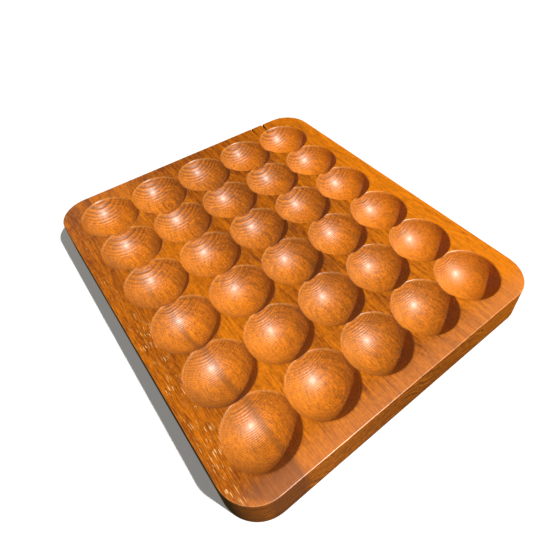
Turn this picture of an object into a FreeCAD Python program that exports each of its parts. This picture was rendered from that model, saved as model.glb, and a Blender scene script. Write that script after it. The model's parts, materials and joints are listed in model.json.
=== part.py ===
import FreeCAD, Part
import math
import os
import Sketcher

# Pit-and-seed game board: a thick rectangular hardwood panel with large round corners and a
# grid of round pits, five across and six along, sunk in its top face.
# The panel is glued up edge to edge from five straight staves whose grain runs along Y, one
# stave under each line of six pits, so every glue joint lies on the ridge between two lines.
# Frame: origin at the middle of the underside, +Z up, long side along Y, five pits across X.

doc = FreeCAD.newDocument("pit_game_board")

# ---------------------------------------------------------------- driving dimensions, mm
sheet = doc.addObject("Spreadsheet::Sheet", "Dimensions")
DIMENSIONS = [
    ("pitch_across", "58"),        # between pit centres, along X
    ("pitch_along", "58.5"),       # between pit centres, along Y
    ("rim_radius", "30"),          # of a pit, in the top face
    ("pit_depth", "22"),
    ("pits_along", "6"),
    ("pits_across", "5"),
    ("margin_left", "15"),         # from the outermost rim to the edge on -X
    ("margin_right", "17.5"),      # +X
    ("margin_near", "14.5"),       # -Y
    ("margin_far", "17"),          # +Y
    ("thickness", "37"),
    ("corner_radius", "32"),       # of the four upright corners
    ("top_round", "1"),            # of the edge round the top face
    ("base_round", "1.5"),         # of the edge round the underside
    ("width", "=margin_left + margin_right + 2 * rim_radius + (pits_across - 1) * pitch_across"),
    ("length", "=margin_near + margin_far + 2 * rim_radius + (pits_along - 1) * pitch_along"),
    ("ball_radius", "=(rim_radius ^ 2 + pit_depth ^ 2) / (2 * pit_depth)"),
    ("first_column", "=margin_left + rim_radius - width / 2"),
    ("near_row", "=margin_near + rim_radius - length / 2"),
]
for row, (name, value) in enumerate(DIMENSIONS, start=1):
    sheet.set("A%d" % row, name)
    sheet.set("B%d" % row, value)
    sheet.setAlias("B%d" % row, name)
doc.recompute()

# Each stave is drawn about its own line of pits, which is X = 0 in its body.
INNER_SIDE = "Dimensions.pitch_across / 2"
LEFT_SIDE = "(Dimensions.margin_left + Dimensions.rim_radius)"
RIGHT_SIDE = "(Dimensions.margin_right + Dimensions.rim_radius)"
STAVES = [
    # label, column, reach on -X, reach on +X, sides that are the board's own edge
    ("left_edge_stave", 0, LEFT_SIDE, INNER_SIDE, (-1,)),
    ("left_inner_stave", 1, INNER_SIDE, INNER_SIDE, ()),
    ("centre_stave", 2, INNER_SIDE, INNER_SIDE, ()),
    ("right_inner_stave", 3, INNER_SIDE, INNER_SIDE, ()),
    ("right_edge_stave", 4, INNER_SIDE, RIGHT_SIDE, (1,)),
]


def origin_item(body, role):
    """The body's own origin plane or axis with this role, such as XY_Plane or Y_Axis."""
    return next(item for item in body.Origin.OriginFeatures if item.Role == role)


def attached_sketch(body, name, role):
    sketch = body.newObject("Sketcher::SketchObject", name)
    sketch.AttachmentSupport = [(origin_item(body, role), "")]
    sketch.MapMode = "FlatFace"
    return sketch


def bind(sketch, constraint, name, expression):
    """Adds a driving constraint, names it and binds it to the spreadsheet."""
    index = sketch.addConstraint(constraint)
    sketch.renameConstraint(index, name)
    sketch.setExpression("Constraints." + name, expression)


def blank(body, reach_left, reach_right):
    """The sawn stave: a rectangle in the underside plane, padded up to the thickness."""
    sketch = attached_sketch(body, "Outline", "XY_Plane")
    low_x, high_x, low_y, high_y = -40.0, 40.0, -190.0, 190.0
    corners = [
        FreeCAD.Vector(low_x, low_y, 0),
        FreeCAD.Vector(high_x, low_y, 0),
        FreeCAD.Vector(high_x, high_y, 0),
        FreeCAD.Vector(low_x, high_y, 0),
    ]
    for k in range(4):
        sketch.addGeometry(Part.LineSegment(corners[k], corners[(k + 1) % 4]), False)
    for k in range(4):
        sketch.addConstraint(Sketcher.Constraint("Coincident", k, 2, (k + 1) % 4, 1))
    for k in (0, 2):
        sketch.addConstraint(Sketcher.Constraint("Horizontal", k))
    for k in (1, 3):
        sketch.addConstraint(Sketcher.Constraint("Vertical", k))
    bind(sketch, Sketcher.Constraint("DistanceX", 0, 1, -1, 1, -low_x), "reach_left", reach_left)
    bind(sketch, Sketcher.Constraint("DistanceX", -1, 1, 0, 2, high_x), "reach_right", reach_right)
    bind(sketch, Sketcher.Constraint("DistanceY", 0, 1, -1, 1, -low_y), "near", "Dimensions.length / 2")
    bind(sketch, Sketcher.Constraint("DistanceY", -1, 1, 3, 1, high_y), "far", "Dimensions.length / 2")
    pad = body.newObject("PartDesign::Pad", "Blank")
    pad.Profile = sketch
    pad.setExpression("Length", "Dimensions.thickness")
    sketch.Visibility = False
    return pad


def edges_where(shape, wanted):
    """Names of the edges of a shape for which wanted(edge) is true."""
    return ["Edge%d" % (k + 1) for k, edge in enumerate(shape.Edges) if wanted(edge)]


def round_edges(body, base, name, edges, radius):
    fillet = body.newObject("PartDesign::Fillet", name)
    fillet.Base = (base, edges)
    fillet.setExpression("Radius", radius)
    doc.recompute()
    return fillet


def is_upright(edge, sides):
    """True for an upright edge of the blank on one of these board sides."""
    box = edge.BoundBox
    return box.ZLength > 1 and box.XLength < 1e-6 and any(abs(box.XMin - x) < 1e-6 for x in sides)


def is_board_rim(edge, height, sides):
    """True for an edge at this height on an end, a corner or one of these sides of the board."""
    box = edge.BoundBox
    if max(abs(box.ZMin - height), abs(box.ZMax - height)) > 1e-6:
        return False
    half = float(sheet.get("length")) / 2
    on_end = box.YLength < 1e-6 and abs(abs(box.YMin) - half) < 1e-6
    on_side = box.XLength < 1e-6 and any(abs(box.XMin - x) < 1e-6 for x in sides)
    on_corner = box.XLength > 1 and box.YLength > 1
    return on_end or on_side or on_corner


def sink_pits(body):
    """Grooves the pit nearest to -Y with a turned section, then repeats it along the stave."""
    sketch = attached_sketch(body, "PitSection", "YZ_Plane")
    # The sketch's own origin is put in the top face, on the axis of the pit.
    sketch.setExpression(".AttachmentOffset.Base.x", "Dimensions.near_row")
    sketch.setExpression(".AttachmentOffset.Base.y", "Dimensions.thickness")
    ball = float(sheet.get("ball_radius"))
    lift = ball - float(sheet.get("pit_depth"))
    centre = FreeCAD.Vector(0, lift, 0)
    lowest = FreeCAD.Vector(0, lift - ball, 0)
    widest = FreeCAD.Vector(ball, lift, 0)
    circle = Part.Circle(centre, FreeCAD.Vector(0, 0, 1), ball)
    arc = sketch.addGeometry(Part.ArcOfCircle(circle, math.radians(-90), 0.0), False)
    axis = sketch.addGeometry(Part.LineSegment(centre, lowest), False)
    lid = sketch.addGeometry(Part.LineSegment(widest, centre), False)
    sketch.addConstraint(Sketcher.Constraint("Coincident", axis, 2, arc, 1))
    sketch.addConstraint(Sketcher.Constraint("Coincident", lid, 1, arc, 2))
    sketch.addConstraint(Sketcher.Constraint("Coincident", lid, 2, axis, 1))
    sketch.addConstraint(Sketcher.Constraint("Coincident", arc, 3, axis, 1))
    sketch.addConstraint(Sketcher.Constraint("Vertical", axis))
    sketch.addConstraint(Sketcher.Constraint("Horizontal", lid))
    sketch.addConstraint(Sketcher.Constraint("PointOnObject", arc, 3, -2))
    bind(sketch, Sketcher.Constraint("Radius", arc, ball), "ball", "Dimensions.ball_radius")
    bind(sketch, Sketcher.Constraint("DistanceY", -1, 1, arc, 3, lift), "lift",
         "Dimensions.ball_radius - Dimensions.pit_depth")
    sketch.Visibility = False
    groove = body.newObject("PartDesign::Groove", "Pit")
    groove.Profile = sketch
    groove.ReferenceAxis = (sketch, ["V_Axis"])
    groove.Angle = 360.0
    doc.recompute()
    pattern = body.newObject("PartDesign::LinearPattern", "PitLine")
    pattern.Originals = [groove]
    pattern.Direction = (origin_item(body, "Y_Axis"), [""])
    pattern.Mode = "Spacing"
    pattern.setExpression("Offset", "Dimensions.pitch_along")
    pattern.setExpression("Occurrences", "Dimensions.pits_along")
    body.Tip = pattern
    doc.recompute()
    return pattern


def stave(label, column, reach_left, reach_right, board_sides):
    """One glued stave of the panel, with its line of pits, put in its place in the board."""
    body = doc.addObject("PartDesign::Body", label)
    body.Label = label
    tip = blank(body, reach_left, reach_right)
    doc.recompute()
    # The board's own edge, when this stave has one: X of the side at -X, or at +X.
    bounds = tip.Shape.BoundBox
    sides = [bounds.XMin if side < 0 else bounds.XMax for side in board_sides]
    if sides:
        corners = edges_where(tip.Shape, lambda edge: is_upright(edge, sides))
        tip = round_edges(body, tip, "Corners", corners, "Dimensions.corner_radius")
    levels = (("BaseRound", 0.0, "base_round"), ("TopRound", sheet.get("thickness"), "top_round"))
    for name, height, radius in levels:
        rim = edges_where(tip.Shape, lambda edge: is_board_rim(edge, float(height), sides))
        tip = round_edges(body, tip, name, rim, "Dimensions." + radius)
    sink_pits(body)
    body.setExpression(".Placement.Base.x", "Dimensions.first_column + %d * Dimensions.pitch_across" % column)
    doc.recompute()
    return body


def check(body):
    """Stops with a message unless the body came out as one valid solid with its six pits."""
    for item in [body] + body.Group:
        if "Invalid" in item.State or "Error" in item.State:
            raise RuntimeError("%s of %s failed: %s" % (item.Name, body.Label, item.State))
    shape = body.Shape
    if shape.isNull() or not shape.isValid() or len(shape.Solids) != 1:
        raise RuntimeError("%s is not one valid solid" % body.Label)
    rim, depth = float(sheet.get("rim_radius")), float(sheet.get("pit_depth"))
    ball = float(sheet.get("ball_radius"))
    cap = math.pi * depth ** 2 * (ball - depth / 3)
    before = next(item for item in body.Group if item.Name.startswith("TopRound"))
    removed = before.Shape.Volume - shape.Volume
    share = removed / (cap * float(sheet.get("pits_along")))
    if not 0.96 < share <= 1.0:
        raise RuntimeError("the pits of %s remove %.3f of their volume" % (body.Label, share))


bodies = [stave(*row) for row in STAVES]
doc.recompute()
for body in bodies:
    check(body)

os.makedirs("parts", exist_ok=True)
for body in bodies:
    body.Shape.exportStep("parts/%s.step" % body.Label)
    box = body.Shape.optimalBoundingBox()
    print("%-20s %7.1f cm3  X %8.2f %8.2f  Y %8.2f %8.2f  Z %5.2f %5.2f" % (
        body.Label, body.Shape.Volume / 1000, box.XMin, box.XMax, box.YMin, box.YMax, box.ZMin, box.ZMax))
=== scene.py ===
"""The looks of a carved pit board: five glued staves of varnished red-brown timber with thirty round bowls.

Every stave is one closed mesh that stands for its CAD node. Its face is cut by the same round bowls as the
CAD solid, with the small faults of hand work: worn ridges, eased rims, a wavering edge, two drying splits.
Lengths are millimetres in the row frame until a mesh is made, which is in metres.
"""

import functools
import json
import math

import bmesh
import bpy
import numpy as np
from mathutils import Matrix, Vector


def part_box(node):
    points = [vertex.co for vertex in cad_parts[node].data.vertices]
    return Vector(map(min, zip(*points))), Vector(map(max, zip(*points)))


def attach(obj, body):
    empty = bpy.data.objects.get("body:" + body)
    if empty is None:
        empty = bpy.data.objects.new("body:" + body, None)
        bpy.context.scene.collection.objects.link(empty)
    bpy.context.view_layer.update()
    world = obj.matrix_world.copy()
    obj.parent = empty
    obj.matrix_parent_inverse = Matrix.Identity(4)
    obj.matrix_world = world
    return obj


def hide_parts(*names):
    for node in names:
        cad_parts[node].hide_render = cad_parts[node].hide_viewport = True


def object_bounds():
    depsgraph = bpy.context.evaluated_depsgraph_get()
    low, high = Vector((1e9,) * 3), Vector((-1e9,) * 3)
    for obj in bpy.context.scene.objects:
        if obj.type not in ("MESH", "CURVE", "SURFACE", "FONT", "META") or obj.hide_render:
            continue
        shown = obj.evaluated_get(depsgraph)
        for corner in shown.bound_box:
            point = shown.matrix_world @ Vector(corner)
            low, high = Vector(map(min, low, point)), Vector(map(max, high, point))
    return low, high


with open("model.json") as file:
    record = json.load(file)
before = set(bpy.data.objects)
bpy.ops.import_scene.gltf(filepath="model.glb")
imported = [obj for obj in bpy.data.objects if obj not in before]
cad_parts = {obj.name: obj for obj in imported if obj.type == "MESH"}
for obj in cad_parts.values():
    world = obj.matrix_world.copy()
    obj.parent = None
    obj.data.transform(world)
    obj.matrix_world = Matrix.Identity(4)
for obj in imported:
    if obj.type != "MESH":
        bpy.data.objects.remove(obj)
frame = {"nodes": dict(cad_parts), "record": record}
cad_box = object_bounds()

MM = 0.001

# ---------------------------------------------------------------- the board, as the frame gives it

BOARD_LOW = np.array(cad_box[0]) / MM
BOARD_HIGH = np.array(cad_box[1]) / MM
TOP = BOARD_HIGH[2]
STAVES = sorted(frame["nodes"], key=lambda node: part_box(node)[0].x)


def pit_lines(axis):
    """Where the lines of pits lie along one axis, lowest first."""
    boxes = [opening["box_m"] for opening in frame["record"]["physics"]["openings"]]
    return sorted({round((low[axis] + high[axis]) / 2 / MM, 2) for low, high in boxes})


COLUMNS = pit_lines(0)
ROWS = pit_lines(1)[::-1]
PITCH_ACROSS = COLUMNS[1] - COLUMNS[0]
PITCH_ALONG = ROWS[0] - ROWS[1]

RIM_RADIUS = 30.0


def pit_depth():
    """Depth of the pits: the lowest point of the CAD face round the middle of a pit."""
    middle = Vector((COLUMNS[0], ROWS[0])) * MM
    reach = 0.3 * RIM_RADIUS * MM
    points = [vertex.co for vertex in frame["nodes"][STAVES[0]].data.vertices]
    floor_heights = [point.z for point in points if (point.xy - middle).length < reach and point.z > MM]
    return TOP - min(floor_heights) / MM


PIT_DEPTH = round(pit_depth(), 2)
BALL_RADIUS = (RIM_RADIUS**2 + PIT_DEPTH**2) / (2 * PIT_DEPTH)
BALL_RISE = BALL_RADIUS - PIT_DEPTH
CORNER_RADIUS = 32.0
TOP_ROUND = 1.0
BASE_ROUND = 1.5
SHARP_ANGLE = math.radians(38)

# ---------------------------------------------------------------- the carved face

RIM_EASE = 0.9

# How far the ridges between the rows are worn down, from the far end to the near end, and in each column the
# farthest ridge as a share of that.
RIDGE_DIPS = [3.3, 2.4, 2.1, 1.6, 1.0]
FAR_RIDGE_SHARE = [0.95, 1.75, 1.25, 0.9, 0.85]

# How far the bowls of the far row reach towards the end of the board, in each column.
FAR_ROW_REACH = [33.0, 33.0, 33.0, 32.5, 30.5]

# Unevenness of hand work: length of its waves over the board and height of them.
FACE_WAVES, FACE_UNEVENNESS = 70, 0.05
BOWL_WAVES, BOWL_UNEVENNESS = 17, 0.11


def reach_for_dip(dip):
    """How far a bowl reaches along the board when the ridge it shares with the next one dips by this much."""
    spread = math.sqrt(BALL_RADIUS**2 - (BALL_RISE + dip) ** 2)
    return PITCH_ALONG / 2 * RIM_RADIUS / spread


def ridge_dip(column, ridge):
    """The dip of the ridge between row ridge and row ridge + 1 in this column."""
    share = FAR_RIDGE_SHARE[column] if ridge == 0 else 1
    return RIDGE_DIPS[ridge] * share


def pit_reach(column, row):
    """How far the bowl reaches from its middle towards the far end and towards the near end."""
    far = FAR_ROW_REACH[column] if row == 0 else reach_for_dip(ridge_dip(column, row - 1))
    near = RIM_RADIUS if row == len(ROWS) - 1 else reach_for_dip(ridge_dip(column, row))
    return far, near


def waves(x, y, length, seed):
    """A smooth wandering value from -1 to 1 over the board, about one wave per length."""
    rng = np.random.default_rng(seed)
    total = np.zeros_like(x)
    for turn in rng.uniform(0, math.tau, 5):
        phase = rng.uniform(0, math.tau)
        stretch = rng.uniform(0.7, 1.5)
        total += np.sin((x * math.cos(turn) + y * math.sin(turn)) * math.tau / (length * stretch) + phase)
    return total / 5


def face_height(x, y):
    """Height of the carved face over points x, y: flat face and bowls, eased into each other at the rims."""
    carved = np.ones_like(x)
    for column, pit_x in enumerate(COLUMNS):
        for row, pit_y in enumerate(ROWS):
            far, near = pit_reach(column, row)
            along = y - pit_y
            spread = np.hypot(x - pit_x, along * RIM_RADIUS / np.where(along > 0, far, near))
            inside = spread < BALL_RADIUS
            drop = BALL_RISE - np.sqrt(BALL_RADIUS**2 - spread[inside] ** 2)
            carved[inside] += np.exp(-drop / RIM_EASE)
    depth = RIM_EASE * np.log(carved)
    in_bowl = np.clip(depth / 4, 0, 1)
    face = FACE_UNEVENNESS * (1 + waves(x, y, FACE_WAVES, seed=1))
    bowls = BOWL_UNEVENNESS * in_bowl * waves(x, y, BOWL_WAVES, seed=2)
    return TOP - depth - (face + bowls)


# ---------------------------------------------------------------- stave meshes

# Spacing of the points along the edges of the patches, and how the rings of points close up towards the rims.
EDGE_STEP = 1.05
RIM_TURN = math.asin(RIM_RADIUS / BALL_RADIUS)
BOWL_TURNS = RIM_TURN * (1 - (1 - np.linspace(0, 1, 27)[1:]) ** 1.3)
INNER_RINGS = np.sin(BOWL_TURNS) / math.sin(RIM_TURN)
OUTER_RINGS = np.linspace(0, 1, 10)[1:] ** 1.9
BASE_RINGS = [1.0, 0.66, 0.33]
WALL_LEVELS = [0.66, 0.33]
TOP_ROUND_STEPS = 8
BASE_ROUND_STEPS = 5
LEAST_RIDGE = 0.5


class Builder:
    """Collects vertices and faces; faces that share a place are joined when the mesh is made."""

    def __init__(self):
        self.points = []
        self.faces = []
        self.count = 0

    def add_points(self, points):
        """Adds an array of points and returns their indices."""
        start = self.count
        self.points.append(np.asarray(points, float).reshape(-1, 3))
        self.count += len(self.points[-1])
        return list(range(start, self.count))

    def strip(self, upper, lower, closed=False):
        """Quads between two rows of indices."""
        last = len(upper) if closed else len(upper) - 1
        for i in range(last):
            j = (i + 1) % len(upper)
            self.faces.append((upper[i], upper[j], lower[j], lower[i]))

    def fan(self, centre, ring):
        """Triangles from a centre to a closed ring."""
        for i, index in enumerate(ring):
            self.faces.append((centre, index, ring[(i + 1) % len(ring)]))

    def mesh(self, name):
        """A closed smooth mesh in metres, sharp only at its real edges."""
        mesh = bpy.data.meshes.new(name)
        mesh.from_pydata(np.concatenate(self.points) * MM, [], self.faces)
        work = bmesh.new()
        work.from_mesh(mesh)
        bmesh.ops.remove_doubles(work, verts=work.verts, dist=2e-6)
        bmesh.ops.recalc_face_normals(work, faces=work.faces)
        work.to_mesh(mesh)
        work.free()
        mesh.shade_smooth()
        mesh.set_sharp_from_angle(angle=SHARP_ANGLE)
        return mesh


def straight(start, end, outward, kind):
    """One straight side of a cell: its points in order, its outward direction and what it borders."""
    steps = max(1, math.ceil(math.dist(start, end) / EDGE_STEP))
    share = np.linspace(0, 1, steps + 1)[:, None]
    points = np.array(start) * (1 - share) + np.array(end) * share
    return points, np.tile(outward, (steps + 1, 1)), kind


def corner(centre, radius, start_angle):
    """A quarter round at a corner of the board."""
    steps = math.ceil(radius * math.pi / 2 / EDGE_STEP)
    angles = np.linspace(start_angle, start_angle + math.pi / 2, steps + 1)
    outward = np.stack([np.cos(angles), np.sin(angles)], 1)
    return np.array(centre) + radius * outward, outward, "edge"


def cell_sides(column, row):
    """The sides of the patch of face round one pit, going round against the clock from the near left."""
    x0, x1 = (c / MM for c in (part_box(STAVES[column])[0].x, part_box(STAVES[column])[1].x))
    y0, y1 = ROWS[row] - PITCH_ALONG / 2, ROWS[row] + PITCH_ALONG / 2
    left, right = column == 0, column == len(COLUMNS) - 1
    far, near = row == 0, row == len(ROWS) - 1
    x0 += TOP_ROUND if left else 0
    x1 -= TOP_ROUND if right else 0
    y0 = BOARD_LOW[1] + TOP_ROUND if near else y0
    y1 = BOARD_HIGH[1] - TOP_ROUND if far else y1
    kinds = ["edge" if near else "ridge", "edge" if right else "joint", "edge" if far else "ridge",
             "edge" if left else "joint"]
    corners = [(x0, y0), (x1, y0), (x1, y1), (x0, y1)]
    rounded = [left and near, right and near, right and far, left and far]
    directions = [(1, 0), (0, 1), (-1, 0), (0, -1)]
    radius = CORNER_RADIUS - TOP_ROUND
    sides = []
    for i, (dx, dy) in enumerate(directions):
        j = (i + 1) % 4
        start = np.array(corners[i]) + (radius * np.array([dx, dy]) if rounded[i] else 0)
        end = np.array(corners[j]) - (radius * np.array([dx, dy]) if rounded[j] else 0)
        sides.append(straight(start, end, (dy, -dx), kinds[i]))
        if rounded[j]:
            centre = end + radius * np.array([-dy, dx])
            sides.append(corner(centre, radius, math.atan2(-dx, dy)))
    return sides


def face_points(column, row, boundary):
    """Rings of points from round the middle of a pit out to the boundary of its cell, with their heights."""
    pit = np.array([COLUMNS[column], ROWS[row]])
    spokes = boundary - pit
    length = np.hypot(*spokes.T)
    direction = spokes / length[:, None]
    far, near = pit_reach(column, row)
    reach = np.where(direction[:, 1] > 0, far, near)
    rim = 1 / np.hypot(direction[:, 0] / RIM_RADIUS, direction[:, 1] / reach)
    rim = np.minimum(rim, length - LEAST_RIDGE)
    inner = [rim * share for share in INNER_RINGS]
    outer = [rim + (length - rim) * share for share in OUTER_RINGS]
    rings = []
    for radius in inner + outer:
        flat = pit + direction * radius[:, None]
        rings.append(np.column_stack([flat, face_height(flat[:, 0], flat[:, 1])]))
    return rings


def edge_wander(points):
    """How far the hand-finished edge falls inside the true outline."""
    x, y = points[:, 0], points[:, 1]
    return 0.14 * (1 + waves(x, y, 46, seed=5)) + 0.05 * (1 + waves(x, y, 13, seed=6))


def edge_profile(top, outward):
    """Rows of points down the rounded edge, the wall and the base rounding, from the top row given."""
    wander = edge_wander(top)
    rows = []
    for step in range(1, TOP_ROUND_STEPS + 1):
        turn = step / TOP_ROUND_STEPS * math.pi / 2
        offset = (TOP_ROUND - wander) * math.sin(turn)
        drop = TOP_ROUND * (1 - math.cos(turn))
        rows.append(np.column_stack([top[:, :2] + outward * offset[:, None], top[:, 2] - drop]))
    for height in WALL_LEVELS:
        offset = TOP_ROUND - wander * height
        level = BASE_ROUND + (TOP - TOP_ROUND - BASE_ROUND) * height
        rows.append(np.column_stack([top[:, :2] + outward * offset[:, None], np.full(len(top), level)]))
    for step in range(BASE_ROUND_STEPS + 1):
        turn = step / BASE_ROUND_STEPS * math.pi / 2
        offset = TOP_ROUND - BASE_ROUND * (1 - math.cos(turn))
        level = BASE_ROUND * (1 - math.sin(turn))
        rows.append(np.column_stack([top[:, :2] + outward * offset, np.full(len(top), level)]))
    return rows


def add_face(build, column, row, boundary):
    """The face and the bowl of one cell; gives the points and the indices of the outermost ring."""
    pit = np.array([[COLUMNS[column], ROWS[row]]])
    rings = face_points(column, row, boundary)
    indices = [build.add_points(ring) for ring in rings]
    middle = build.add_points(np.column_stack([pit, face_height(pit[:, 0], pit[:, 1])]))[0]
    build.fan(middle, indices[0])
    for inside, outside in zip(indices, indices[1:]):
        build.strip(inside, outside, closed=True)
    return rings[-1], indices[-1]


def add_base(build, column, row, base_outline):
    """The underside of one cell; gives the indices of its outermost ring."""
    pit = np.array([[COLUMNS[column], ROWS[row]]])
    base_rings = []
    for share in BASE_RINGS:
        flat = pit + (base_outline - pit) * share
        base_rings.append(build.add_points(np.column_stack([flat, np.zeros(len(flat))])))
    middle = build.add_points(np.column_stack([pit, [0]]))[0]
    for outside, inside in zip(base_rings, base_rings[1:]):
        build.strip(outside, inside, closed=True)
    build.fan(middle, base_rings[-1])
    return base_rings[0]


def add_outer_wall(build, top_points, top_row, outward, joins):
    """One side of a cell that is the board's own edge; joins tells at which ends it meets a glue joint."""
    profile = [build.add_points(points) for points in edge_profile(top_points, outward)]
    previous = top_row
    for following in profile:
        build.strip(previous, following)
        previous = following
    for end, meets_joint in zip((0, -1), joins):
        if meets_joint:
            build.faces.append([top_row[end]] + [points[end] for points in profile])


def add_cell(build, column, row):
    """The part of a stave round one pit: face, outer edge, joint walls and base."""
    sides = cell_sides(column, row)
    boundary = np.concatenate([points[:-1] for points, _, _ in sides])
    places = []
    start = 0
    for points, _, _ in sides:
        places.append([(start + i) % len(boundary) for i in range(len(points))])
        start += len(points) - 1
    base_outline = boundary.copy()
    for (points, outward, kind), at in zip(sides, places):
        if kind == "edge":
            base_outline[at] = points + outward * (TOP_ROUND - BASE_ROUND)
    top_points, top = add_face(build, column, row, boundary)
    base = add_base(build, column, row, base_outline)
    for number, ((_, outward, kind), at) in enumerate(zip(sides, places)):
        top_row = [top[i] for i in at]
        if kind == "joint":
            build.strip(top_row, [base[i] for i in at])
        if kind == "edge":
            neighbours = (sides[number - 1], sides[(number + 1) % len(sides)])
            joins = [side_kind == "joint" for _, _, side_kind in neighbours]
            add_outer_wall(build, top_points[at], top_row, outward, joins)


# ---------------------------------------------------------------- drying splits

SPLITS = [  # x at the end of the board, x where it closes, length, width at the end
    (96.0, 93.0, 27.0, 2.2),
    (113.0, 109.4, 21.0, 3.2),
]
SPLIT_DEPTH = 27.0
SPLIT_STATIONS = 9


def split_cutter(x_end, x_closed, length, width, seed):
    """A wedge with ragged walls, widest at the far end and at the face, that opens a drying split."""
    rng = np.random.default_rng(seed)
    work = bmesh.new()
    overshoot = 3.0
    sections = []
    for station in range(SPLIT_STATIONS + 1):
        share = station / SPLIT_STATIONS
        y = BOARD_HIGH[1] + overshoot - (length + overshoot) * share
        x = x_end + (x_closed - x_end) * share + rng.uniform(-0.25, 0.25)
        half = width / 2 * (1 - share) ** 0.75 + 0.03
        depth = SPLIT_DEPTH * (1 - share**1.5) + 1.5
        lean = rng.uniform(-0.8, 0.8)
        middle = x + lean * 0.5
        section = [
            (x - half, TOP + 1),
            (x + half, TOP + 1),
            (middle + half * 0.55, TOP - depth * 0.5),
            (x + lean, TOP - depth),
            (middle - half * 0.55, TOP - depth * 0.5),
        ]
        sections.append([work.verts.new(Vector((px, y, pz)) * MM) for px, pz in section])
    for a, b in zip(sections, sections[1:]):
        for i in range(len(a)):
            j = (i + 1) % len(a)
            work.faces.new((a[i], a[j], b[j], b[i]))
    work.faces.new(sections[0])
    work.faces.new(sections[-1][::-1])
    bmesh.ops.recalc_face_normals(work, faces=work.faces)
    mesh = bpy.data.meshes.new("split_cutter")
    work.to_mesh(mesh)
    work.free()
    return bpy.data.objects.new("split_cutter", mesh)


def cut_splits(stave, material):
    """Cuts the drying splits into a stave; their walls get a material of their own."""
    stave.data.materials.append(material)
    cutters = [split_cutter(*split, seed) for seed, split in enumerate(SPLITS)]
    for cutter in cutters:
        cutter.data.materials.append(None)
        cutter.data.materials.append(material)
        cutter.data.polygons.foreach_set("material_index", [1] * len(cutter.data.polygons))
        bpy.context.scene.collection.objects.link(cutter)
        cut = stave.modifiers.new("split", "BOOLEAN")
        cut.operation = "DIFFERENCE"
        cut.solver = "MANIFOLD"
        cut.object = cutter
    bpy.context.view_layer.update()
    evaluated = stave.evaluated_get(bpy.context.evaluated_depsgraph_get())
    stave.data = bpy.data.meshes.new_from_object(evaluated)
    stave.modifiers.clear()
    for cutter in cutters:
        bpy.data.objects.remove(cutter)
    stave.data.shade_smooth()
    stave.data.set_sharp_from_angle(angle=SHARP_ANGLE)


# ---------------------------------------------------------------- material graphs


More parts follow.
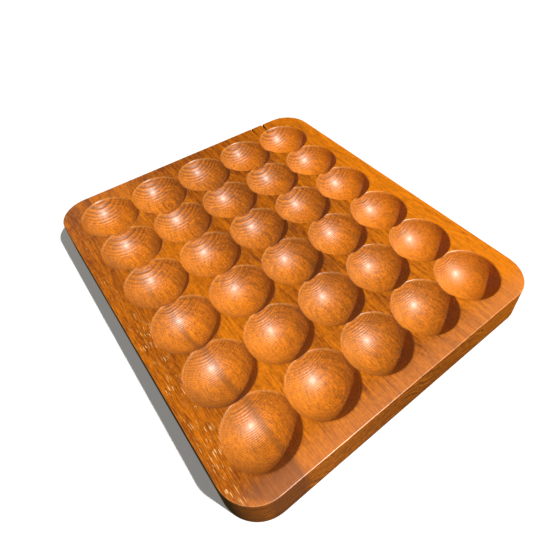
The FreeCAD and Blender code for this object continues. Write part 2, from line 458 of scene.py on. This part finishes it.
class Graph:
    """A material's nodes. An input given as a socket is linked; one given as a value is set."""

    def __init__(self, name):
        self.material = bpy.data.materials.new(name)
        self.material.use_nodes = True
        self.nodes = self.material.node_tree.nodes
        self.links = self.material.node_tree.links
        self.nodes.clear()

    def put(self, socket, value):
        if isinstance(value, bpy.types.NodeSocket):
            self.links.new(value, socket)
        elif value is not None:
            socket.default_value = value

    def place(self):
        """The place of a point of the board, in millimetres."""
        return self.vector("SCALE", self.nodes.new("ShaderNodeTexCoord").outputs["Object"], scale=1 / MM)

    def stretched(self, place, across, along):
        """A place scaled by one factor across the grain and another along it."""
        return self.vector("MULTIPLY", place, (across, along, across))

    def math(self, operation, *values):
        node = self.nodes.new("ShaderNodeMath")
        node.operation = operation
        for socket, value in zip(node.inputs, values):
            self.put(socket, value)
        return node.outputs[0]

    def sum(self, *values):
        """The sum of several values."""
        return functools.reduce(lambda a, b: self.math("ADD", a, b), values)

    def product(self, *values):
        """The product of several values."""
        return functools.reduce(lambda a, b: self.math("MULTIPLY", a, b), values)

    def rest(self, share):
        """What a share leaves of the whole."""
        return self.math("SUBTRACT", 1.0, share)

    def vector(self, operation, *values, scale=None):
        node = self.nodes.new("ShaderNodeVectorMath")
        node.operation = operation
        for socket, value in zip(node.inputs, values):
            self.put(socket, value)
        if scale is not None:
            self.put(node.inputs["Scale"], scale)
        return node.outputs["Value" if operation in ("LENGTH", "DOT_PRODUCT", "DISTANCE") else "Vector"]

    def combine(self, x, y, z):
        node = self.nodes.new("ShaderNodeCombineXYZ")
        for socket, value in zip(node.inputs, (x, y, z)):
            self.put(socket, value)
        return node.outputs[0]

    def separate(self, vector):
        node = self.nodes.new("ShaderNodeSeparateXYZ")
        self.put(node.inputs[0], vector)
        return node.outputs

    def step(self, value, low, high, start=0.0, end=1.0):
        """A smooth change from start to end while value goes from low to high."""
        node = self.nodes.new("ShaderNodeMapRange")
        node.interpolation_type = "SMOOTHSTEP"
        for socket, given in zip(node.inputs, (value, low, high, start, end)):
            self.put(socket, given)
        return node.outputs[0]

    def noise(self, coordinates, scale, detail=2.0, roughness=0.5, distortion=0.0, four=None):
        """Noise at a scale in waves per unit, or along a line when four, its place there, is given."""
        node = self.nodes.new("ShaderNodeTexNoise")
        if four is not None:
            node.noise_dimensions = "1D"
            self.put(node.inputs["W"], four)
        else:
            self.put(node.inputs["Vector"], coordinates)
        self.put(node.inputs["Scale"], scale)
        self.put(node.inputs["Detail"], detail)
        self.put(node.inputs["Roughness"], roughness)
        self.put(node.inputs["Distortion"], distortion)
        return node.outputs[0]

    def mix(self, factor, first, second):
        """Two colours mixed."""
        node = self.nodes.new("ShaderNodeMix")
        node.data_type = "RGBA"
        node.clamp_factor = True
        self.put(node.inputs["Factor"], factor)
        for name, value in (("A", first), ("B", second)):
            socket = next(s for s in node.inputs if s.name == name and s.type == "RGBA")
            self.put(socket, value)
        return next(s for s in node.outputs if s.type == "RGBA")

    def noise_color(self, coordinates, scale):
        """Three separate noises in one vector."""
        node = self.nodes.new("ShaderNodeTexNoise")
        self.put(node.inputs["Vector"], coordinates)
        self.put(node.inputs["Scale"], scale)
        return node.outputs["Color"]

    def bump(self, height):
        """A bump whose height is in millimetres."""
        node = self.nodes.new("ShaderNodeBump")
        self.put(node.inputs["Strength"], 1.0)
        self.put(node.inputs["Distance"], MM)
        self.put(node.inputs["Height"], height)
        return node.outputs[0]

    def finish(self, color, roughness, normal, **settings):
        """The surface shader; settings are the inputs that are the same all over."""
        shader = self.nodes.new("ShaderNodeBsdfPrincipled")
        output = self.nodes.new("ShaderNodeOutputMaterial")
        self.put(shader.inputs["Base Color"], color)
        self.put(shader.inputs["Roughness"], roughness)
        self.put(shader.inputs["Normal"], normal)
        for name, value in settings.items():
            self.put(shader.inputs[name.replace("_", " ").title().replace("Ior", "IOR")], value)
        self.links.new(shader.outputs[0], output.inputs["Surface"])
        return self.material


def rgb(red, green, blue):
    return (red, green, blue, 1.0)


# ---------------------------------------------------------------- the timber

# Tones of the wood and on it: stain, pores, pale filler and painted glint, painted sheen in the bowls and at
# the near end.
DARK_TONE = rgb(0.200, 0.038, 0.0006)
LIGHT_TONE = rgb(0.900, 0.242, 0.0012)
PURPLE_STAIN = rgb(0.150, 0.036, 0.0100)
PORE_TONE = rgb(0.170, 0.028, 0.0010)
PALE_FILLER_AND_GLINT_TONE = rgb(1.000, 0.620, 0.2500)
BOWL_SHEEN_TONE = rgb(0.780, 0.305, 0.0220)
NEAR_SHEEN_TONE = rgb(0.740, 0.270, 0.1000)

# Broad tone of each stave at its left and its right side, from 0 dark to 1 light.
STAVE_TONES = [(0.46, 0.70), (0.68, 0.38), (0.41, 0.38), (0.38, 0.62), (0.60, 1.08)]
# Lighter towards the near end: partly the wood's own tone, partly painted sheen.
TONE_ALONG = 0.10

# Where the pith of each stave's tree lies, as x and z.
PITHS = [(-160.0, -110.0), (-20.0, -95.0), (-40.0, -120.0), (20.0, -80.0), (150.0, -150.0)]

# Patches of dark figure: x, y, half width, half length, strength.
DARK_PATCHES = [
    # left margin and the left sides of the left line of bowls
    (-146, 167, 15, 22, 0.50), (-138, 128, 9, 14, 0.50), (-131, 131, 12, 14, 0.45), (-139, 82, 10, 22, 0.55),
    (-131, 72, 12, 14, 0.60), (-134, 26, 9, 18, 0.30), (-131, 14, 11, 13, 0.35), (-139, -96, 10, 20, 0.55),
    (-131, -102, 11, 13, 0.40), (-130, -128, 6, 13, 0.50), (-126, -152, 9, 26, 0.30),
    (-131, -161, 11, 13, 0.40), (-138, -166, 9, 12, 0.30), (-118, -173, 16, 8, 0.50),
    # between the first and the second line of bowls
    (-97, 84, 9, 18, 0.40), (-77, 72, 11, 12, 0.58), (-97, 28, 9, 20, 0.50),
    # far margin and between the second and the third line
    (-60, 184, 28, 9, 0.35), (-42, 147, 15, 24, 0.25), (-39, 89, 13, 22, 0.20), (-41, 44, 8, 10, 0.30),
    (-32, 30, 9, 16, 0.25), (-27, -1, 9, 22, 0.45), (-48, -33, 9, 18, 0.35), (-36, -86, 10, 12, 0.25),
    # far margin and between the third and the fourth line
    (4, 184, 14, 12, 0.45), (4, 160, 9, 12, 0.30), (7, 141, 11, 22, 0.60), (17, 101, 9, 12, 0.30),
    (13, 89, 11, 20, 0.35), (17, 28, 10, 16, 0.30), (22, 7, 13, 24, 0.45), (22, -50, 11, 24, 0.65),
    # between the fourth and the fifth line
    (80, 112, 8, 28, 0.40), (75, 28, 9, 16, 0.35), (84, -4, 8, 24, 0.25),
]

# The cutter's furrows: spacing and height.
TOOL_MARK_STEP = 1.65
TOOL_MARK_HEIGHT = 0.055

# The varnish: a soft coat over a glossy base.
VARNISH = {
    "specular_ior_level": 0.80,
    "specular_tint": rgb(1.0, 0.96, 0.90),
    "coat_weight": 0.46,
    "coat_roughness": 0.34,
    "coat_ior": 1.5,
}


class Surface:
    """Sockets that tell where a point of the board lies: its place, its nearest pit, the way it faces."""

    def __init__(self, g):
        self.place = g.place()
        self.x, self.y, z = g.separate(self.place)
        self.pit_x = self.from_nearest(g, self.x, COLUMNS, PITCH_ACROSS)
        self.pit_y = self.from_nearest(g, self.y, ROWS, PITCH_ALONG)
        self.out = g.vector("LENGTH", g.combine(self.pit_x, self.pit_y, 0.0))
        self.below = g.math("SUBTRACT", TOP, z)
        near_top = g.step(self.below, PIT_DEPTH + 2, PIT_DEPTH + 4, 1.0, 0.0)
        self.over_pit = g.product(g.step(self.out, RIM_RADIUS + 4, RIM_RADIUS + 5, 1.0, 0.0), near_top)
        self.in_bowl = g.product(self.over_pit, g.step(self.below, 0.5, 1.6))
        _, along, self.up = g.separate(g.nodes.new("ShaderNodeNewGeometry").outputs["Normal"])
        self.on_face = g.step(self.up, 0.6, 0.9)
        self.end_grain = g.step(g.math("ABSOLUTE", along), 0.3, 0.9)
        self.wall = g.product(g.step(self.up, 0.2, 0.7, 1.0, 0.0), g.rest(self.over_pit))

    @staticmethod
    def from_nearest(g, value, lines, pitch):
        """Distance of a value from the nearest of the evenly spaced lines of pits."""
        first, last = min(lines), max(lines)
        off = g.math("SUBTRACT", value, first)
        index = g.math("ROUND", g.math("DIVIDE", off, pitch))
        index = g.math("MINIMUM", g.math("MAXIMUM", index, 0.0), round((last - first) / pitch))
        return g.math("SUBTRACT", off, g.product(index, pitch))


def cutter_marks(g, at):
    """Furrows that the cutter left across the bowls, from -1 to 1: wide in the far rows, fine in the near."""
    furrow = g.sum(at.pit_y, g.product(g.noise(at.place, 0.07, 1.0), 1.8))
    fine = g.math("SINE", g.product(furrow, math.tau / TOOL_MARK_STEP))
    wide = g.math("SINE", g.product(furrow, math.tau / (2 * TOOL_MARK_STEP)))
    fine = g.product(fine, g.step(at.y, -60.0, 160.0, 1.0, 0.5))
    wide = g.product(wide, g.step(at.y, -110.0, 130.0, 0.1, 1.7), g.step(at.pit_y, 6.0, 18.0))
    steepness = g.step(g.math("ABSOLUTE", at.pit_y), 6.0, 28.0, 0.8, 2.4)
    worn = g.step(g.noise(at.place, 0.05, 2.0), 0.32, 0.62, 0.5, 1.1)
    far_left = g.math("SUBTRACT", g.product(at.pit_y, 0.75), g.product(at.pit_x, 0.65))
    elsewhere = g.step(at.y, -130.0, 120.0, 0.95, 0.35)
    side = g.step(far_left, -14.0, 12.0, elsewhere, 1.0)
    return g.product(g.sum(fine, wide), at.in_bowl, worn, steepness, side)


def pore_cover(g, at, paleness):
    """Where the pores are: short dots in the bowls, which cut them across, and long lines on the face."""
    dots = g.noise(g.stretched(at.place, 0.95, 0.30), 1.0, 2.0, 0.7, 0.1)
    lines = g.noise(g.stretched(at.place, 1.00, 0.07), 1.0, 2.0, 0.6, 0.1)
    dots = g.product(g.step(dots, 0.46, 0.66), at.in_bowl, 1.4 - 0.8 * paleness)
    return g.sum(dots, g.product(g.step(lines, 0.50, 0.62), g.rest(at.in_bowl)))


class Wood:
    """Sockets that tell what the wood of one stave is like at a point: rings, fibre, pores, cutter marks."""

    def __init__(self, g, at, column):
        self.paleness = sum(STAVE_TONES[column]) / 2
        self.wander = self.centred(g, at, 0.013, 0.0045)
        ring = self.ring_distance(g, at, column)
        self.rings = g.noise(None, 0.34, 3.0, 0.6, four=ring)
        self.fine_rings = g.noise(None, 0.90, 2.0, 0.6, four=ring)
        self.fibre = g.noise(g.stretched(at.place, 0.85, 0.060), 1.0, 3.0, 0.7, 0.25)
        self.streak = g.noise(g.stretched(at.place, 0.20, 0.014), 1.0, 3.0, 0.6, 0.3)
        self.mottle = g.noise(at.place, 0.30, 3.0, 0.7)
        self.marks = cutter_marks(g, at)
        self.pores = pore_cover(g, at, self.paleness)

    @staticmethod
    def centred(g, at, across, along):
        """A wandering from -0.5 to 0.5 that changes at one rate across the stave and another along it."""
        return g.math("SUBTRACT", g.noise(g.stretched(at.place, across, along), 1.0, 2.0), 0.5)

    def ring_distance(self, g, at, column):
        """Distance from the pith of the stave's tree, in mm, wandering along the stave."""
        pith_x, pith_z = PITHS[column]
        _, _, z = g.separate(at.place)
        from_pith = g.combine(g.math("SUBTRACT", at.x, pith_x), 0.0, g.math("SUBTRACT", z, pith_z))
        ripple = self.centred(g, at, 0.05, 0.014)
        return g.sum(g.vector("LENGTH", from_pith), g.product(self.wander, 34.0), g.product(ripple, 7.0))


def bowl_light(g, at):
    """Where the bowls are made paler: their floors, their far left and their right sides."""
    far_left = g.math("SUBTRACT", g.product(at.pit_y, 0.87), g.product(at.pit_x, 0.5))
    right = g.sum(g.product(at.pit_x, 0.97), g.product(at.pit_y, 0.26))
    pale = g.math("MAXIMUM", g.step(at.out, 15.0, 25.0, 1.0, 0.0), g.step(far_left, 6.0, 18.0))
    return g.product(at.in_bowl, g.math("MAXIMUM", pale, g.step(right, 13.0, 20.0, 0.0, 0.6)))


def wood_tone(g, at, wood, column):
    """Tone of the wood at a point, from 0 dark to 1 light; towards the near end partly painted sheen."""
    left, right = (corner.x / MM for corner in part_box(STAVES[column]))
    tone_left, tone_right = STAVE_TONES[column]
    slope = (tone_right - tone_left) / (right - left)
    broad = g.sum(
        g.math("MULTIPLY_ADD", at.x, slope, tone_left - left * slope),
        g.step(at.y, BOARD_LOW[1], BOARD_HIGH[1], TONE_ALONG, -TONE_ALONG),
    )
    figure = g.sum(
        g.step(wood.rings, 0.3, 0.7, -0.13, 0.13),
        g.step(wood.fibre, 0.3, 0.7, -0.25, 0.25),
        g.step(wood.streak, 0.3, 0.7, -0.17, 0.17),
        g.step(wood.mottle, 0.3, 0.7, -0.17, 0.17),
        g.product(g.step(wood.rings, 0.35, 0.65, -0.3, 0.3), at.wall),
        g.product(g.step(wood.fine_rings, 0.35, 0.65, -0.16, 0.16), at.in_bowl),
    )
    bowls = g.sum(
        g.product(wood.marks, -0.15),
        g.product(at.end_grain, g.step(at.in_bowl, 0.0, 1.0, -0.02, -0.18)),
        g.product(bowl_light(g, at), 0.44 - 0.3 * wood.paleness),
    )
    # a paler left margin, and a paler near margin that is partly painted sheen
    margins = g.sum(
        g.step(at.x, -153.0, -147.0, 0.12, 0.0),
        g.product(g.step(at.y, -188.0, -168.0, 0.08, 0.0), at.on_face),
    )
    return g.sum(broad, figure, bowls, margins)


def dark_figure(g, at, wood):
    """How strongly the patches of dark figure stain a point."""
    scatter = g.vector("SUBTRACT", g.noise_color(at.place, 0.03), (0.5, 0.5, 0.5))
    warped = g.vector("ADD", at.place, g.vector("SCALE", scatter, scale=30.0))
    stain = g.product(at.end_grain, at.in_bowl, 0.35)
    for patch_x, patch_y, half_width, half_length, strength in DARK_PATCHES:
        away = g.vector("SUBTRACT", warped, (patch_x, patch_y, TOP))
        away = g.vector("LENGTH", g.vector("MULTIPLY", away, (1 / half_width, 1 / half_length, 0.02)))
        stain = g.math("MAXIMUM", stain, g.step(away, 0.2, 1.2, strength, 0.0))
    return g.product(stain, g.step(wood.fibre, 0.3, 0.7, 1.45, 0.4), g.step(wood.rings, 0.3, 0.7, 1.25, 0.65))


def left_side_stains(g, at, wood, color):
    """A dark vein beside the left line of pits, redder wood on its left and a stained near left corner."""
    vein_line = g.step(at.y, -190.0, 190.0, -113.0, -133.0)
    off_vein = g.math("SUBTRACT", g.sum(at.x, g.product(wood.wander, 16.0)), vein_line)
    color = g.mix(g.step(off_vein, -8.0, 0.0, 0.18, 0.0), color, DARK_TONE)
    vein = g.step(g.math("ABSOLUTE", off_vein), 0.4, 5.0, 0.6, 0.0)
    color = g.mix(g.product(vein, g.step(at.y, -20.0, 120.0, 1.0, 0.25)), color, PURPLE_STAIN)
    across_corner = g.sum(g.product(at.y, 0.9), at.x)
    patch = g.product(
        g.step(across_corner, -313.0, -308.0),
        g.step(at.y, -180.0, -168.0, 0.75, 0.0),
        g.step(at.x, -112.5, -110.5, 1.0, 0.0),
        g.step(wood.fibre, 0.3, 0.7, 1.25, 0.75),
    )
    return g.mix(patch, color, PURPLE_STAIN)


def filler_flecks(g, at):
    """Pale filler left in the pores of the left margin, in clusters."""
    flecks = g.step(g.noise(g.stretched(at.place, 1.3, 0.11), 1.0, 1.0), 0.63, 0.68)
    cluster = g.step(g.noise(g.stretched(at.place, 0.07, 0.035), 1.0, 1.0), 0.42, 0.60, 0.15, 1.0)
    margin = g.product(
        g.step(at.x, -160.5, -158.5),
        g.step(at.x, -147.0, -136.0, 1.0, 0.0),
        g.step(at.y, -30.0, 90.0, 1.0, 0.25),
        g.step(at.below, 3.0, 6.0, 1.0, 0.0),
    )
    return g.product(flecks, cluster, margin)


def wood_color(g, at, wood, column):
    """Colour of the wood with its stains, its pores and the filler in them."""
    color = g.mix(g.product(wood_tone(g, at, wood, column), 0.8), DARK_TONE, LIGHT_TONE)
    color = g.mix(dark_figure(g, at, wood), color, PURPLE_STAIN)
    color = left_side_stains(g, at, wood, color)
    coarse = g.math("MAXIMUM", g.step(at.x, -146.0, -124.0, 0.9, 0.4), g.product(at.end_grain, 0.8))
    coarse = g.math("MAXIMUM", coarse, at.in_bowl)
    color = g.mix(g.product(wood.pores, coarse, 0.70), color, PORE_TONE)
    return g.mix(g.product(filler_flecks(g, at), 0.9), color, PALE_FILLER_AND_GLINT_TONE)


def painted_sheen(g, at, color):
    """Painted sheen: pale pink in the bowls, most on their left sides, and on the near margin and left of the
    near wall.
    """
    bowl_sheen = g.sum(g.step(at.pit_x, -16.0, 4.0, 0.21, 0.12), g.step(at.y, -160.0, 60.0, 0.05, 0.0))
    color = g.mix(g.product(at.in_bowl, bowl_sheen), color, BOWL_SHEEN_TONE)
    near_sheen = g.math("MAXIMUM", at.on_face, g.step(at.x, -130.0, 40.0, 0.4, 0.0))
    return g.mix(g.product(g.step(at.y, -188.0, -166.0, 0.34, 0.0), near_sheen), color, NEAR_SHEEN_TONE)


def timber(name, column):
    """Varnished timber of one stave: growth rings, fibre, pores, stains, cutter marks in the bowls."""
    g = Graph(name)
    at = Surface(g)
    wood = Wood(g, at, column)
    color = painted_sheen(g, at, wood_color(g, at, wood, column))

    # far rims and board edges made pale: partly wear, partly a painted glint of the key light; all rims worn
    # smooth
    rim = g.product(
        g.step(at.below, 0.12, 0.22),
        g.step(at.below, 0.9, 2.2, 1.0, 0.0),
        at.over_pit,
        g.step(at.pit_y, 4.0, 20.0),
    )
    edge = g.product(g.step(at.up, 0.55, 0.75), g.step(at.up, 0.9, 0.97, 1.0, 0.0), g.rest(at.in_bowl))
    board_edge = g.product(edge, g.rest(at.over_pit))
    color = g.mix(g.sum(g.product(rim, 0.16), g.product(board_edge, 0.22)), color, PALE_FILLER_AND_GLINT_TONE)
    burnished = g.math("MAXIMUM", rim, edge)

    # the bowls are rougher than the face
    roughness = g.sum(
        0.26,
        g.product(wood.mottle, 0.16),
        g.product(at.in_bowl, 0.14),
        g.product(burnished, -0.02),
    )
    relief = g.sum(
        g.product(wood.marks, TOOL_MARK_HEIGHT),
        g.product(wood.pores, -0.05),
        g.product(wood.fibre, 0.09),
        g.product(wood.mottle, 0.06),
    )
    relief = g.product(relief, g.step(burnished, 0.0, 1.0, 1.0, 0.15))
    return g.finish(color, roughness, g.bump(relief), **VARNISH)


def split_wood():
    """Raw dark wood inside the drying splits."""
    g = Graph("split_wood")
    torn = g.noise(g.vector("MULTIPLY", g.place(), (1.5, 0.2, 0.6)), 1.0, 4.0, 0.6)
    color = g.mix(torn, rgb(0.045, 0.014, 0.005), rgb(0.16, 0.055, 0.015))
    return g.finish(color, g.sum(0.7, g.product(torn, 0.2)), g.bump(g.product(torn, 0.3)))


# ---------------------------------------------------------------- the staves


def make_stave(column):
    """One stave of the board, with its six bowls."""
    node = STAVES[column]
    build = Builder()
    for row in range(len(ROWS)):
        add_cell(build, column, row)
    stave = bpy.data.objects.new(node + "_carved", build.mesh(node + "_carved"))
    bpy.context.scene.collection.objects.link(stave)
    stave.data.materials.append(timber(node + "_timber", column))
    return stave


for column, node in enumerate(STAVES):
    stave = make_stave(column)
    if column == len(STAVES) - 1:
        cut_splits(stave, split_wood())
    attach(stave, "root")
    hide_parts(node)

# ---------------------------------------------------------------- floor, light and camera

FLOOR_SIZE = 8.0
SOFTBOX_SIZE = 0.9
KEY_DIRECTION = (0.2246, -0.537, 0.813)
NEAR_SOFTBOX_DIRECTION = (0.42, -0.79, 0.445)
FAR_SOFTBOX_DIRECTION = (-0.15, 0.96, 0.22)

VIEW_AIM = (33.0, -3.8)
VIEW_DISTANCE = 480.7
VIEW_AZIMUTH = math.radians(-36.27)
VIEW_ELEVATION = math.radians(44.56)
VIEW_ROLL = math.radians(2.11)
LENS = 31.274
SHIFT = (-0.0698, -0.0699)


def floor():
    """A plain pale floor under the board. It glows a little, so that the shadow on it stays pale."""
    half = FLOOR_SIZE / 2
    mesh = bpy.data.meshes.new("floor")
    corners = [(-half, -half, 0), (half, -half, 0), (half, half, 0), (-half, half, 0)]
    mesh.from_pydata(corners, [], [(0, 1, 2, 3)])
    sheet = bpy.data.objects.new("floor", mesh)
    bpy.context.scene.collection.objects.link(sheet)
    sheet.visible_diffuse = False
    sheet.visible_glossy = False
    g = Graph("floor_paint")
    place = g.nodes.new("ShaderNodeTexCoord").outputs["Object"]
    color = g.mix(g.noise(place, 3.0, 2.0), rgb(0.80, 0.80, 0.80), rgb(0.83, 0.83, 0.83))
    paint = g.finish(color, 0.9, None, emission_color=rgb(1.0, 1.0, 1.0), emission_strength=0.2)
    mesh.materials.append(paint)


def lamp(name, kind, energy, color, direction):
    """A lamp that shines from a direction; its back is turned along the direction."""
    light = bpy.data.objects.new(name, bpy.data.lights.new(name, kind))
    light.data.energy = energy
    light.data.color = color
    light.rotation_mode = "QUATERNION"
    light.rotation_quaternion = direction.to_track_quat("Z", "Y")
    bpy.context.scene.collection.objects.link(light)
    return light


def softbox(name, energy, color, toward, distance):
    """A large soft lamp that stands in a direction and shines at the middle of the board."""
    direction = Vector(toward).normalized()
    light = lamp(name, "AREA", energy, color, direction)
    light.data.shape = "SQUARE"
    light.data.size = SOFTBOX_SIZE
    light.location = direction * distance


def lights():
    """A high key light from the near right and two large softboxes, near and far."""
    key = lamp("key", "SUN", 4.3, (1.0, 0.985, 0.96), Vector(KEY_DIRECTION))
    key.data.angle = math.radians(1.6)
    softbox("near_softbox", 1.5, (1.0, 0.93, 0.90), NEAR_SOFTBOX_DIRECTION, 1.3)
    softbox("far_softbox", 1.4, (1.0, 0.95, 0.90), FAR_SOFTBOX_DIRECTION, 1.5)


def surroundings():
    """A weak warm fill all round; the camera sees a pale backdrop in its place."""
    world = bpy.data.worlds.new("studio")
    world.use_nodes = True
    nodes, links = world.node_tree.nodes, world.node_tree.links
    fill = nodes["Background"]
    fill.inputs["Color"].default_value = rgb(1.0, 0.86, 0.38)
    fill.inputs["Strength"].default_value = 0.046
    backdrop = nodes.new("ShaderNodeBackground")
    backdrop.inputs["Color"].default_value = rgb(0.9, 0.9, 0.9)
    backdrop.inputs["Strength"].default_value = 1.0
    choice = nodes.new("ShaderNodeMixShader")
    links.new(nodes.new("ShaderNodeLightPath").outputs["Is Camera Ray"], choice.inputs[0])
    links.new(fill.outputs[0], choice.inputs[1])
    links.new(backdrop.outputs[0], choice.inputs[2])
    links.new(choice.outputs[0], nodes["World Output"].inputs["Surface"])
    bpy.context.scene.world = world


def camera():
    """A close wide view from over the near left corner, a little rolled, as a person would hold a phone."""
    look = bpy.data.objects.new("camera", bpy.data.cameras.new("camera"))
    look.data.lens = LENS
    look.data.sensor_width = 36.0
    look.data.shift_x, look.data.shift_y = SHIFT
    look.data.clip_start = 0.01
    level_back = Vector((math.sin(VIEW_AZIMUTH), -math.cos(VIEW_AZIMUTH), 0))
    back = level_back * math.cos(VIEW_ELEVATION) + Vector((0, 0, math.sin(VIEW_ELEVATION)))
    level = (-back).to_track_quat("-Z", "Y")
    look.rotation_mode = "QUATERNION"
    look.rotation_quaternion = level @ Matrix.Rotation(-VIEW_ROLL, 3, "Z").to_quaternion()
    look.location = (Vector((*VIEW_AIM, TOP)) + back * VIEW_DISTANCE) * MM
    bpy.context.scene.collection.objects.link(look)
    bpy.context.scene.camera = look


floor()
lights()
surroundings()
camera()
bpy.context.scene.view_settings.view_transform = "Standard"
